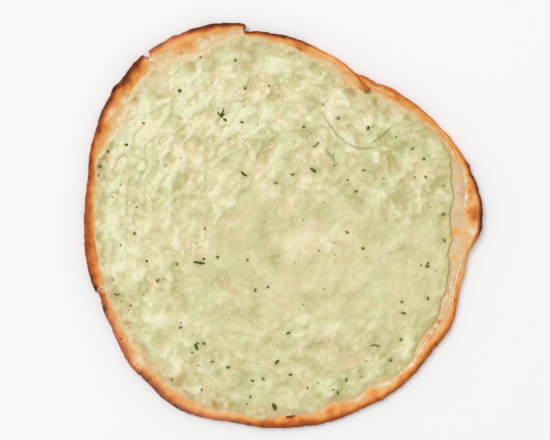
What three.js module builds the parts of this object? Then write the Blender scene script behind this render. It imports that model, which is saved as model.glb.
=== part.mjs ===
// Manakish: a thin, hand-stretched flatbread baked with a layer of melted white cheese and chopped green herbs.
// Millimetres, +Z up. The flat underside stands on z = 0 and the origin is under the middle of the bread.
// Bearings are degrees anticlockwise from +X, seen from above, and radii are measured from the bread's middle.
import * as THREE from "three";

// Driving dimensions.
const DOUGH_THICKNESS = 3.0; // of the bread under the cheese
const CHEESE_THICKNESS = 1.6;
const CLEARANCE = 0.3; // air left between pieces that lie on each other
const LEAF_THICKNESS = 0.3;
const CRUST_COLUMN_STEP = 2; // degrees between two sections of the crust
const CHEESE_COLUMN_STEP = 3;
const FULL_TURN = 360;

// The crust's edge from above, as stretches of smooth edge of [bearing, radius], walked anticlockwise. The dough tore
// or lapped over itself where one stretch ends and the next begins, so the edge steps in or out there.
const CRUST_STRETCHES = {
  right_shoulder: [
    [18.8, 135.6],
    [25, 134.4],
    [32, 131.4],
    [40, 127.8],
    [48, 124.2],
    [56, 120.8],
    [63.7, 118.4],
  ],
  far_edge: [
    [64.3, 117.4],
    [68, 120.8],
    [75, 125],
    [82, 128.8],
    [90, 133],
    [96, 136.4],
    [101.2, 138.8],
  ],
  far_left_flap: [
    [101.8, 143.6],
    [106, 147.4],
    [113, 150.8],
    [120, 153],
    [127.7, 153.8],
  ],
  split: [
    [128.1, 150],
    [129, 150],
  ],
  left_edge: [
    [129.4, 153.6],
    [136, 153.3],
    [142, 152.4],
    [149, 149.8],
    [156, 146.6],
    [163, 143],
    [170, 140.6],
    [180, 140],
    [190, 141.4],
    [195, 140.8],
    [198.7, 139.4],
  ],
  near_left_edge: [
    [199.3, 137.6],
    [206, 139.6],
    [213, 142],
    [220, 145],
    [225.2, 146.6],
  ],
  near_edge_and_ear: [
    [225.8, 145.6],
    [231, 147.2],
    [240, 147.8],
    [247, 145.8],
    [255, 143],
    [265, 142.6],
    [275, 142],
    [285, 141.2],
    [293, 140.2],
    [301, 140.2],
    [309, 139.4],
    [320, 136.6],
    [329, 136.8],
    [335, 134.6],
    [341, 131.4],
    [349, 130.8],
    [354, 134],
    [360, 139.6],
    [366, 140.8],
    [372, 139.2],
    [378.2, 136.4],
  ],
};

// The edge of the cheese layer, which leaves a band of bare dough, widest at the puffed ear on the right.
const CHEESE_EDGE = [
  [2, 115.6],
  [10, 118.4],
  [18, 123],
  [23, 125],
  [32, 124.6],
  [41, 121],
  [50, 117],
  [58, 113],
  [64, 109.4],
  [71, 115],
  [80, 120.8],
  [90, 126],
  [99, 131],
  [107, 132.4],
  [115, 133.4],
  [122, 137.4],
  [130, 140],
  [138, 139],
  [147, 136],
  [155, 137],
  [163, 135.8],
  [172, 132.6],
  [182, 131.4],
  [192, 131.8],
  [200, 131.8],
  [208, 133.6],
  [217, 136.2],
  [225, 135.4],
  [233, 136.2],
  [242, 137],
  [251, 136],
  [257, 133.6],
  [264, 136.6],
  [272, 131.4],
  [281, 129.6],
  [289, 128],
  [296, 126],
  [303, 127.4],
  [310, 128.8],
  [316, 126],
  [322, 124.2],
  [329, 125.2],
  [336, 124.6],
  [343, 121.8],
  [350, 118.6],
  [356, 116],
];

// The height of the crust's crest above the table, and of its underside's outer edge, round the bread.
const CREST_HEIGHT = [
  [0, 9],
  [10, 8.8],
  [19, 7.4],
  [32, 6.8],
  [46, 6.6],
  [60, 6.8],
  [67, 7.6],
  [80, 7.4],
  [95, 7.4],
  [105, 8.2],
  [120, 8],
  [135, 8.4],
  [150, 8],
  [170, 7.6],
  [190, 7.8],
  [205, 7.2],
  [225, 7],
  [235, 7.6],
  [250, 7],
  [270, 6.8],
  [290, 7],
  [310, 6.8],
  [330, 6.8],
  [345, 7.2],
  [353, 8.4],
];
const EDGE_LIFT = [
  [0, 3],
  [20, 2.4],
  [60, 1.8],
  [100, 2.4],
  [125, 2.6],
  [150, 2],
  [180, 1.6],
  [220, 1.6],
  [260, 1.4],
  [300, 1.8],
  [330, 2.4],
  [350, 3],
];

// Scraps of chopped leaf on the cheese: [x, y, length, width, turn in degrees].
const HERB_LEAVES = [
  [-42.2, 76.7, 5.8, 3, -50],
  [-59.4, -26, 6.4, 2.5, 5],
  [-61.2, -85, 5, 3, 70],
  [-6, -127, 4.4, 2.6, -60],
  [100.9, -28, 3.6, 2.8, 70],
  [-28.1, 36, 4.4, 1.8, -40],
  [21.8, 38.8, 4.4, 1.8, -40],
  [64.8, -84.5, 6.4, 1.6, -12],
  [22.8, 56, 4.3, 2.4, 20],
  [-4.8, -96, 3.3, 2.2, 45],
  [84.3, -61.8, 3.6, 1.8, -5],
  [-116.4, -48, 3.6, 1.9, -25],
  [44.1, -108, 3.3, 2.2, 60],
  [-126.4, 40, 3.4, 2, 5],
  [101.3, -51, 3, 2.1, 60],
  [59.6, 68.4, 3, 2.1, 60],
  [6.6, 35.8, 2.9, 1.5, 0],
  [-55.6, -82.7, 3, 1.8, -30],
  [-49.7, -95.2, 2.9, 1.5, -5],
  [-38.6, -99.3, 2.6, 1.8, -20],
  [3.4, -75.2, 2.9, 1.8, 20],
  [5, -104.6, 2.9, 1.7, 0],
  [83.1, -53.4, 2.6, 2, 10],
  [112.4, 8, 2.8, 2, 20],
  [113, -10.4, 3, 1.5, -60],
  [-104.4, -5.4, 2.6, 2, 30],
  [-88.2, -38.6, 2.9, 2, 40],
  [-74.8, -27, 2.2, 1.9, 15],
  [-95.7, -24.7, 2.3, 2, 75],
  [-29, 72.5, 2.6, 1.5, -25],
  [38.7, 75.5, 2.3, 2, 0],
  [14.3, 69.2, 2.2, 1.5, -20],
  [-110, 56.7, 2.5, 1.8, -10],
  [-72.6, 94.2, 2.2, 1.7, 50],
  [56.3, 38.9, 2.6, 1.5, -5],
  [90.6, 54, 2.5, 1.4, 40],
  [98.7, 46.6, 2.3, 1.5, 25],
  [99.8, 34.2, 2.2, 1.7, 65],
  [51.1, 24, 2.5, 1.5, 10],
  [55.9, -16, 2.5, 1.8, -35],
  [44.6, -4.6, 2.9, 1.5, -40],
  [-46.1, -22, 2.5, 1.8, -20],
  [-25.1, -24.2, 2.3, 1.9, 60],
  [-19.6, -45.2, 2.6, 1.7, 70],
  [-10.8, -43, 2.2, 1.8, 0],
  [75.3, -94.5, 2.3, 1.8, -30],
  [82.7, -80, 2.6, 1.5, 60],
  [-26.6, 96.3, 2.2, 1.8, 40],
  [-33.5, 115.9, 2.2, 1.8, 0],
  [-21.7, -108.7, 2.5, 1.7, -30],
  [-14, -107.5, 2.5, 1.5, -60],
  [-72.2, -71.4, 2.5, 1.7, 10],
  [38.4, -117.1, 2.8, 1.8, 70],
];

// A smooth function of bearing through [bearing, value] knots in rising order of bearing.
function through(knots) {
  const bearings = knots.map(([bearing]) => bearing);
  const values = knots.map(([, value]) => value);
  const curve = new THREE.CubicInterpolant(bearings, values, 1);
  return (bearing) => curve.evaluate(bearing)[0];
}

// The same, where the last knot runs on into the first.
function throughRound(knots) {
  const before = knots.slice(-2).map(([b, v]) => [b - FULL_TURN, v]);
  const after = knots.slice(0, 2).map(([b, v]) => [b + FULL_TURN, v]);
  const curve = through([...before, ...knots, ...after]);
  return (bearing) => curve(THREE.MathUtils.euclideanModulo(bearing, FULL_TURN));
}

const cheeseEdge = throughRound(CHEESE_EDGE);
const crestHeight = throughRound(CREST_HEIGHT);
const edgeLift = throughRound(EDGE_LIFT);

// The point at a radius and height on a bearing.
function pointAt(bearing, radius, height) {
  const angle = THREE.MathUtils.degToRad(bearing);
  return new THREE.Vector3(radius * Math.cos(angle), radius * Math.sin(angle), height);
}

// One closed skin over columns of points that stand round the middle. Each column runs from near the top pole, over
// the edge, to near the bottom pole.
function closedSkin(columns, topPole, bottomPole) {
  const rows = columns[0].length;
  const points = [topPole, ...columns.flat(), bottomPole];
  const bottom = points.length - 1;
  const faces = [];
  columns.forEach((column, i) => {
    const here = 1 + i * rows;
    const next = 1 + ((i + 1) % columns.length) * rows;
    faces.push(0, here, next);
    for (let row = 0; row < rows - 1; row++) {
      faces.push(here + row, here + row + 1, next + row + 1);
      faces.push(here + row, next + row + 1, next + row);
    }
    faces.push(bottom, next + rows - 1, here + rows - 1);
  });
  const skin = new THREE.BufferGeometry().setFromPoints(points).setIndex(faces);
  skin.computeVertexNormals();
  return skin;
}

// The bread's own dough: a flat disc under the cheese, a bare band that climbs to the crest, and an edge that rolls
// over the crest and tucks back under to the flat foot.
function crustColumn(bearing, edge) {
  const cheese = cheeseEdge(bearing);
  const crest = crestHeight(bearing);
  const lift = edgeLift(bearing);
  const band = edge - cheese;
  const crestInset = THREE.MathUtils.clamp(0.38 * band, 2, 9);
  const bandFoot = DOUGH_THICKNESS + 1.1;
  const waist = THREE.MathUtils.lerp(lift, crest, 0.5);
  const profile = [
    [0.5 * cheese, DOUGH_THICKNESS],
    [cheese - 7, DOUGH_THICKNESS],
    [cheese - 2, DOUGH_THICKNESS + 0.4],
    [cheese + 0.1 * band, bandFoot],
    [cheese + 0.35 * band, THREE.MathUtils.lerp(bandFoot, crest, 0.6)],
    [edge - crestInset, crest],
    [edge - 0.35 * crestInset, crest - 0.6],
    [edge, waist],
    [edge - 0.8, THREE.MathUtils.lerp(lift, waist, 0.4)],
    [edge - 3, lift],
    [edge - 9, 0.35 * lift],
    [edge - 16, 0],
    [0.55 * edge, 0],
  ];
  return profile.map(([radius, height]) => pointAt(bearing, radius, height));
}

function flatbreadGeometry() {
  const columns = Object.values(CRUST_STRETCHES).flatMap((knots) => {
    const first = knots[0][0];
    const last = knots[knots.length - 1][0];
    const steps = Math.max(1, Math.round((last - first) / CRUST_COLUMN_STEP));
    const edge = through(knots);
    return Array.from({ length: steps + 1 }, (_, i) => {
      const bearing = THREE.MathUtils.lerp(first, last, i / steps);
      return crustColumn(bearing, edge(bearing));
    });
  });
  return closedSkin(columns, pointAt(0, 0, DOUGH_THICKNESS), pointAt(0, 0, 0));
}

// The top of the cheese, in gentle swells that it keeps from melting over the dough's bubbles.
function cheeseTop(x, y) {
  const broad = 0.3 * Math.sin(x / 17 + 0.6) * Math.cos(y / 21);
  const narrow = 0.15 * Math.sin((x + 0.6 * y) / 11);
  return DOUGH_THICKNESS + CLEARANCE + CHEESE_THICKNESS + broad + narrow;
}

function cheeseColumn(bearing) {
  const edge = cheeseEdge(bearing);
  const top = [0.15, 0.3, 0.45, 0.6, 0.72, 0.82, 0.9, 0.96].map((share) => {
    const point = pointAt(bearing, share * edge, 0);
    return point.setZ(cheeseTop(point.x, point.y));
  });
  const foot = DOUGH_THICKNESS + CLEARANCE;
  const rim = [
    [edge - 1.4, foot + 1.3],
    [edge - 0.7, foot + 0.9],
    [edge - 7.4, foot],
    [0.5 * edge, foot],
  ].map(([radius, height]) => pointAt(bearing, radius, height));
  return [...top, ...rim];
}

function cheeseGeometry() {
  const count = FULL_TURN / CHEESE_COLUMN_STEP;
  const columns = Array.from({ length: count }, (_, i) => cheeseColumn(i * CHEESE_COLUMN_STEP));
  return closedSkin(columns, pointAt(0, 0, cheeseTop(0, 0)), pointAt(0, 0, DOUGH_THICKNESS + CLEARANCE));
}

// A thin scrap of leaf, pointed at both ends and lying flat, with its length along X.
function leafGeometry(length, width) {
  const outline = new THREE.Shape();
  outline.moveTo(-length / 2, 0);
  outline.quadraticCurveTo(-0.1 * length, -width, length / 2, 0);
  outline.quadraticCurveTo(0.1 * length, width, -length / 2, 0);
  return new THREE.ExtrudeGeometry(outline, {
    depth: LEAF_THICKNESS,
    bevelEnabled: false,
    curveSegments: 5,
  });
}

const bakedDough = new THREE.MeshStandardMaterial({ color: 0xe0a060, roughness: 0.75, metalness: 0 });
const meltedCheese = new THREE.MeshStandardMaterial({ color: 0xdedab0, roughness: 0.45, metalness: 0 });
const choppedHerb = new THREE.MeshStandardMaterial({ color: 0x3a4f1e, roughness: 0.6, metalness: 0 });

function named(name, geometry, material) {
  const mesh = new THREE.Mesh(geometry, material);
  mesh.name = name;
  return mesh;
}

const manakish = new THREE.Group();
const flatbread = named("flatbread", flatbreadGeometry(), bakedDough);
manakish.add(flatbread, named("cheese_topping", cheeseGeometry(), meltedCheese));

HERB_LEAVES.forEach(([x, y, length, width, turn], i) => {
  const number = String(i + 1).padStart(2, "0");
  const leaf = named(`herb_leaf_${number}`, leafGeometry(length, width), choppedHerb);
  leaf.position.set(x, y, cheeseTop(x, y) + CLEARANCE);
  leaf.rotation.z = THREE.MathUtils.degToRad(turn);
  manakish.add(leaf);
});

// The origin goes under the middle of the bread's own box.
const middle = new THREE.Box3().setFromObject(flatbread).getCenter(new THREE.Vector3());
manakish.position.set(-middle.x, -middle.y, 0);

export default manakish;
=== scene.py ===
# %% [markdown]
# # A cheese and herb manakish
# A manakish is a thin round of hand-stretched dough, baked hot and fast with its topping already on. Here
# the topping is white cheese, melted into one mottled sheet, with chopped green herbs in it. We make it in
# the baker's order: the dough, then the cheese, then the herbs, and last the light to see it by. The packed
# model holds every piece at its real size, so we load it first and read all our places from it.

import bpy
import numpy as np
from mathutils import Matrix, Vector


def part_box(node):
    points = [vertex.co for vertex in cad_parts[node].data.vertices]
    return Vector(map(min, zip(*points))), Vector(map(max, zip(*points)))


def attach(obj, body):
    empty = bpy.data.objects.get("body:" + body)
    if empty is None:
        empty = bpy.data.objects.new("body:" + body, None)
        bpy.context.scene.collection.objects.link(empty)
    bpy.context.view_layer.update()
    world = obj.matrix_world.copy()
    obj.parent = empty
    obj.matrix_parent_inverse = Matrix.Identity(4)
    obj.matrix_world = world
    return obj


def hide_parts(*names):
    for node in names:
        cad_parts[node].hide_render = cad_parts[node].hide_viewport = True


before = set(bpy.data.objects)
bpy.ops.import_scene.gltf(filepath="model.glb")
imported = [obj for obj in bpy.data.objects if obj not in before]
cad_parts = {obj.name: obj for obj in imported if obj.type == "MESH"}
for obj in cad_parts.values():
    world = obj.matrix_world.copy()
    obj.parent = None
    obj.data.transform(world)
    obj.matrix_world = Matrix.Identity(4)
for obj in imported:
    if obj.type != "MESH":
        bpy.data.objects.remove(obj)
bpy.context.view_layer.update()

MM = 0.001
FULL_TURN = 360.0
print("pieces in the model:", len(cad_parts))

# %% [markdown]
# ## Reading the bread's outline
# Bread dough has no true circle in it, so its shape is best told in compass style: for each bearing round
# the middle, how far out the edge is and how high the crust stands. The model's corners already stand in
# such columns. We sort the corners by bearing and keep the widest, highest and lowest of each column. All
# surfaces are worked out in millimetres from the bread's middle, and turned into metres at the very end.

# %% Columns of corners
def corners_of(name):
    """The corners of one piece of the model in millimetres, one row each, with repeats merged."""
    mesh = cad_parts[name].data
    flat = np.empty(3 * len(mesh.vertices), np.float32)
    mesh.vertices.foreach_get("co", flat)
    return np.unique(flat.reshape(-1, 3).astype(float).round(6), axis=0) / MM


bread_corners = corners_of("flatbread")
MIDDLE = bread_corners[np.hypot(bread_corners[:, 0], bread_corners[:, 1]).argmin(), :2]
print("the bread's middle is at", MIDDLE.round(2), "mm")


def polar(x, y):
    """Bearing in degrees anticlockwise from +X, and distance, of points measured from the bread's middle."""
    return np.degrees(np.arctan2(y, x)) % FULL_TURN, np.hypot(x, y)


def columns_of(name, reach=4.0, gap=0.2):
    """For each bearing that holds a column of corners: the widest radius, the greatest height, and the
    lowest height among the corners within `reach` of the edge. Taken in order of bearing, a corner starts a
    new column where it stands more than `gap` degrees on from the corner before."""
    corners = corners_of(name)
    bearing, radius = polar(corners[:, 0] - MIDDLE[0], corners[:, 1] - MIDDLE[1])
    away = radius > reach
    order = np.argsort(bearing[away])
    corners, radius, bearing = corners[away][order], radius[away][order], bearing[away][order]
    column = np.cumsum(np.diff(bearing, prepend=bearing[0]) > gap)
    bearings = np.bincount(column, bearing) / np.bincount(column)
    widest = np.zeros(len(bearings))
    highest = np.zeros(len(bearings))
    lowest = np.full(len(bearings), np.inf)
    np.maximum.at(widest, column, radius)
    np.maximum.at(highest, column, corners[:, 2])
    rim = radius > widest[column] - reach
    np.minimum.at(lowest, column[rim], corners[rim, 2])
    return {"bearing": bearings, "edge": widest, "crest": highest, "lift": lowest}


crust = columns_of("flatbread")
cheese_rim = columns_of("cheese_topping")
print(len(crust["bearing"]), "columns in the crust,", len(cheese_rim["bearing"]), "in the cheese")

# %% Quantities that run round the bread
def round_the_bread(bearings, values):
    """A function of bearing: straight lines between the bearings where the value is known, with the last one
    joined on to the first."""
    return lambda bearing: np.interp(bearing, bearings, values, period=FULL_TURN)


def from_list(pairs):
    """The same, from a list of (bearing, value) pairs."""
    bearings, values = np.array(pairs, float).T
    return round_the_bread(bearings, values)


edge_radius = round_the_bread(crust["bearing"], crust["edge"])
crest_height = round_the_bread(crust["bearing"], crust["crest"])
edge_lift = round_the_bread(crust["bearing"], crust["lift"])
cheese_radius = round_the_bread(cheese_rim["bearing"], cheese_rim["edge"])

CHEESE_THICKNESS = 2.1
MODEL_GAP = 0.3  # how far the cheese is kept off the dough in the model
DOUGH_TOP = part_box("cheese_topping")[0].z / MM - MODEL_GAP
print("dough is", round(DOUGH_TOP, 2), "mm thick under the cheese")

# %% Where the dough tore
# Two columns that stand closer than this, in degrees, mark a tear, because the edge jumps there.
TEAR_GAP = 0.8

gap_after = np.diff(crust["bearing"], append=crust["bearing"][0] + FULL_TURN)
tears = (crust["bearing"] + gap_after / 2)[gap_after < TEAR_GAP] % FULL_TURN


def degrees_past(bearing, start):
    """How far one bearing lies past another, from -180 to 180 degrees."""
    return (bearing - start + FULL_TURN / 2) % FULL_TURN - FULL_TURN / 2


def tear_near(bearing):
    """The bearing of the tear that is nearest to the one asked for."""
    return tears[np.abs(degrees_past(tears, bearing)).argmin()]


print("tears at bearings", tears.round(1))

# %% [markdown]
# ## Chance that never changes
# Dough and melted cheese are full of accidents. We want them random but the same on every run, so the
# numbers come from a formula and not from a running generator: each cell of a grid always rolls the same
# dice. From those dice we build three kinds of ground: rolling swells, swells on swells, and packed pebbles.
# Each takes the size of its bumps in mm and a seed, and a different seed gives different accidents.

# %% Dice, swells and pebbles
def zero_to_one(values):
    """Values with all below 0 raised to 0 and all above 1 cut to 1."""
    return np.clip(values, 0, 1)


def smooth(share):
    """An S-shaped step: 0 below 0, 1 above 1, and level at both ends."""
    share = zero_to_one(share)
    return share * share * (3 - 2 * share)


def bell(distance, size):
    """A bell curve: 1 at no distance, about a third at `size`, and next to nothing at twice that."""
    return np.exp(-((distance / size) ** 2))


def dice(column, row, seed):
    """A fixed number from 0 to 1 for each grid cell: its column and row are multiplied by large odd
    numbers, and the bits of their sum are stirred."""
    bits = (column * 374761393 + row * 668265263 + seed * 974634777) & 0xFFFFFFFF
    bits = ((bits ^ (bits >> 13)) * 1274126177) & 0xFFFFFFFF
    return ((bits ^ (bits >> 16)) & 0xFFFF) / 0xFFFF


def swell(x, y, size, seed):
    """Rolling ground from about -1 to 1: every grid corner tilts its own way, and a point's height blends
    what the tilts of the four corners round it give, by how near each one is."""
    column, row = np.floor(x / size).astype(np.int64), np.floor(y / size).astype(np.int64)
    u, v = x / size - column, y / size - row
    height = np.zeros_like(u)
    for right in (0, 1):
        for up in (0, 1):
            turn = 2 * np.pi * dice(column + right, row + up, seed)
            tilt = np.cos(turn) * (u - right) + np.sin(turn) * (v - up)
            nearness = (smooth(u) if right else 1 - smooth(u)) * (smooth(v) if up else 1 - smooth(v))
            height += 1.5 * tilt * nearness
    return height


def swells(x, y, size, seed, layers=3, fade=0.5):
    """Swells on swells: each layer is half as wide, and `fade` times as high, as the one before."""
    return sum(fade**layer * swell(x, y, size / 2**layer, seed + layer) for layer in range(layers))


def pebbles(x, y, size, seed):
    """Packed round lumps, 0 in the creases and 1 on top: one pebble lies in each grid cell, and a point is
    as high as its nearest pebble is nearer than the next nearest."""
    column, row = np.floor(x / size).astype(np.int64), np.floor(y / size).astype(np.int64)
    nearest = second = np.full(np.shape(x), 9.0)  # cells, which is farther than any pebble looked at
    for right in (-1, 0, 1):
        for up in (-1, 0, 1):
            pebble_x = column + right + dice(column + right, row + up, seed)
            pebble_y = row + up + dice(column + right, row + up, seed + 1)
            distance = np.hypot(x / size - pebble_x, y / size - pebble_y)
            second = np.minimum(second, np.maximum(nearest, distance))
            nearest = np.minimum(nearest, distance)
    return smooth((second - nearest) / 0.7)


# %% [markdown]
# ## From arrays to a mesh
# A grid of points becomes a skin of four-sided faces. These helpers number the faces for any grid, close a
# skin that runs round the bread, and store marks that a finish reads later, such as each point's toast.

# %% Skins
def quads_between(number):
    """The four-sided faces between neighbouring points of a grid, from the grid of point numbers."""
    corners = [number[:-1, :-1], number[1:, :-1], number[1:, 1:], number[:-1, 1:]]
    return np.stack(corners, axis=-1).reshape(-1, 4)


def closed_round(number):
    """The same grid of point numbers with its first column again after the last, so that its faces close."""
    return np.column_stack([number, number[:, :1]])


def fan(pole, ring):
    """Triangles from one point to a closed ring of points."""
    return np.column_stack([np.full(len(ring), pole), ring, np.roll(ring, -1)])


def add_object(name, data):
    """A new object in the scene, at the origin."""
    made = bpy.data.objects.new(name, data)
    bpy.context.scene.collection.objects.link(made)
    return made


def make_piece(name, points, faces, finish, slot, stands_for=(), **marks):
    """A mesh piece from points in mm from the bread's middle. A mark is one number for each point."""
    mesh = bpy.data.meshes.new(name)
    placed = (points + [*MIDDLE, 0]) * MM
    mesh.from_pydata(placed.tolist(), [], [face for group in faces for face in group.tolist()])
    mesh.polygons.foreach_set("use_smooth", np.ones(len(mesh.polygons), bool))
    for mark, values in marks.items():
        mesh.attributes.new(mark, "FLOAT", "POINT").data.foreach_set("value", values.astype(np.float32))
    mesh.materials.append(finish)
    mesh.update()
    piece = add_object(name, mesh)
    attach(piece, "root")
    if stands_for:
        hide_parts(*stands_for)


# %% [markdown]
# ## Mixing the finishes
# Each finish is one principled shader fed by layers of pattern. Three effects are needed by more than one
# finish, so each is a node group, built once: soft mottling, small flecks, and the fine grain that breaks
# up a highlight. Patterns read object coordinates, which are metres here, so their sizes are metres too.

# %% Paint, and a bench for wiring nodes
def paint(red, green, blue):
    """A colour as the eye names it, 0 to 255, turned into the linear light that a shader wants."""
    share = np.array([red, green, blue]) / 255
    linear = np.where(share <= 0.04045, share / 12.92, ((share + 0.055) / 1.055) ** 2.4)
    return (*linear.tolist(), 1.0)


class Bench:
    """A node tree being wired. Every input takes either a plain value or another node's output."""

    def __init__(self, tree):
        self.tree = tree

    def give(self, socket, value):
        """Wires an output to an input, or sets the input to a plain value."""
        if isinstance(value, bpy.types.NodeSocket):
            self.tree.links.new(value, socket)
        else:
            socket.default_value = value

    def add(self, kind, **settings):
        """A new node. A setting whose name starts with a capital is an input, and any other is a property."""
        node = self.tree.nodes.new(kind)
        for name, value in settings.items():
            if name[0].isupper():
                self.give(node.inputs[name.replace("_", " ")], value)
            else:
                setattr(node, name, value)
        return node

    def reckon(self, operation, *values, clamp=False):
        """Arithmetic on outputs or plain numbers."""
        node = self.add("ShaderNodeMath", operation=operation, use_clamp=clamp)
        for socket, value in zip(node.inputs, values):
            self.give(socket, value)
        return node.outputs[0]


def new_group(name, inputs, output):
    """An empty node group with number or vector inputs and one output: its bench, the sockets that its
    inputs come in by, and the socket that its output leaves by."""
    tree = bpy.data.node_groups.new(name, "ShaderNodeTree")
    for label, start in inputs.items():
        kind = "NodeSocketVector" if start is None else "NodeSocketFloat"
        socket = tree.interface.new_socket(label, in_out="INPUT", socket_type=kind)
        if start is not None:
            socket.default_value = start
    tree.interface.new_socket(output, in_out="OUTPUT", socket_type="NodeSocketFloat")
    bench = Bench(tree)
    return bench, bench.add("NodeGroupInput").outputs, bench.add("NodeGroupOutput").inputs[output]


# %% The three shared effects
def soft_mottle_group():
    """Cloudy patches: layered noise whose middle values are spread to run from 0 to 1, more sharply as the
    Contrast rises. A texture's scale is one divided by the size of its patches."""
    bench, given, mask = new_group("soft mottle", {"Place": None, "Size": 0.01, "Contrast": 2.0}, "Mask")
    scale = bench.reckon("DIVIDE", 1.0, given["Size"])
    clouds = bench.add("ShaderNodeTexNoise", Detail=3.0, Roughness=0.55, Vector=given["Place"], Scale=scale)
    centred = bench.reckon("SUBTRACT", clouds.outputs["Fac"], 0.5)
    bench.give(mask, bench.reckon("MULTIPLY_ADD", centred, given["Contrast"], 0.5, clamp=True))
    return bench.tree


def flecks_group():
    """Small separate spots: each cell of a Voronoi pattern rolls a number, and only a cell that rolls under
    the Coverage gets a spot, of the given Radius as a share of the cell. A spot is whole out to 0.4 of its
    radius."""
    inputs = {"Place": None, "Size": 0.004, "Coverage": 0.2, "Radius": 0.25}
    bench, given, mask = new_group("flecks", inputs, "Mask")
    scale = bench.reckon("DIVIDE", 1.0, given["Size"])
    cells = bench.add("ShaderNodeTexVoronoi", Randomness=1.0, Vector=given["Place"], Scale=scale)
    roll = bench.add("ShaderNodeSeparateColor", Color=cells.outputs["Color"]).outputs["Red"]
    chosen = bench.reckon("LESS_THAN", roll, given["Coverage"])
    inside = bench.add(
        "ShaderNodeMapRange",
        interpolation_type="SMOOTHSTEP",
        Value=cells.outputs["Distance"],
        From_Min=bench.reckon("MULTIPLY", given["Radius"], 0.4),
        From_Max=given["Radius"],
        To_Min=1.0,
        To_Max=0.0,
    )
    bench.give(mask, bench.reckon("MULTIPLY", inside.outputs["Result"], chosen))
    return bench.tree


def fine_grain_group():
    """The height of a fine uneven skin: noise at the given Size, and finer noise at a third of it."""
    bench, given, height = new_group("fine grain", {"Place": None, "Size": 0.001, "Finer": 0.4}, "Height")
    scale = bench.reckon("DIVIDE", 1.0, given["Size"])
    thrice = bench.reckon("MULTIPLY", scale, 3.0)
    coarse = bench.add("ShaderNodeTexNoise", Detail=2.0, Vector=given["Place"], Scale=scale).outputs["Fac"]
    finer = bench.add("ShaderNodeTexNoise", Detail=1.0, Vector=given["Place"], Scale=thrice).outputs["Fac"]
    bench.give(height, bench.reckon("MULTIPLY_ADD", finer, given["Finer"], coarse))
    return bench.tree


SOFT_MOTTLE = soft_mottle_group()
FLECKS = flecks_group()
FINE_GRAIN = fine_grain_group()
print("shared effects:", [group.name for group in bpy.data.node_groups])

# %% A bench for mixing one finish
MIX_LOW, MIX_HIGH = 6, 7  # which inputs of a mix node take its two colours


class Finish(Bench):
    """One material being mixed: its node tree, its principled shader and its place on the surface."""

    def __init__(self, name, **plain):
        self.material = bpy.data.materials.new(name)
        self.material.use_nodes = True
        super().__init__(self.material.node_tree)
        self.shader = self.tree.nodes["Principled BSDF"]
        self.place = self.add("ShaderNodeTexCoord").outputs["Object"]
        self.feed(**plain)

    def feed(self, **values):
        """Gives the shader's inputs their plain values or outputs."""
        for label, value in values.items():
            self.give(self.shader.inputs[label.replace("_", " ")], value)

    def effect(self, group, **values):
        """Places a shared effect, sets its inputs, and gives its output."""
        return self.add("ShaderNodeGroup", node_tree=group, Place=self.place, **values).outputs[0]

    def mark(self, name):
        """Reads a mark that the piece's mesh carries."""
        return self.add("ShaderNodeAttribute", attribute_name=name).outputs["Fac"]

    def between(self, share, low, high):
        """Blends two colours, each a paint or an output, by a share from 0 to 1."""
        node = self.add("ShaderNodeMix", data_type="RGBA", Factor=share)
        self.give(node.inputs[MIX_LOW], low)
        self.give(node.inputs[MIX_HIGH], high)
        return node.outputs[2]

    def scale_of_colours(self, share, stops):
        """A colour for each share from 0 to 1, from (share, paint) stops."""
        node = self.add("ShaderNodeValToRGB", Fac=share)
        ramp = node.color_ramp
        while len(ramp.elements) < len(stops):
            ramp.elements.new(0.5)
        for element, (position, colour) in zip(ramp.elements, stops):
            element.position = position
            element.color = colour
        return node.outputs["Color"]

    def rough_skin(self, height, depth, strength):
        """Bends the shading by a height pattern whose full range is `depth` in metres."""
        bump = self.add("ShaderNodeBump", Strength=strength, Distance=depth, Height=height)
        self.feed(Normal=bump.outputs["Normal"])


# %% [markdown]
# ## Baked dough
# The oven paints bread by height and exposure: the outermost edge goes brown to black, the crest behind it
# turns orange, and the sheltered slope beside the cheese stays the colour of cream. One mark, `toast`,
# carries that from the mesh, and a scale of colours turns it into paint. Mottling and freckles keep the
# scale from looking printed.

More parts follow.
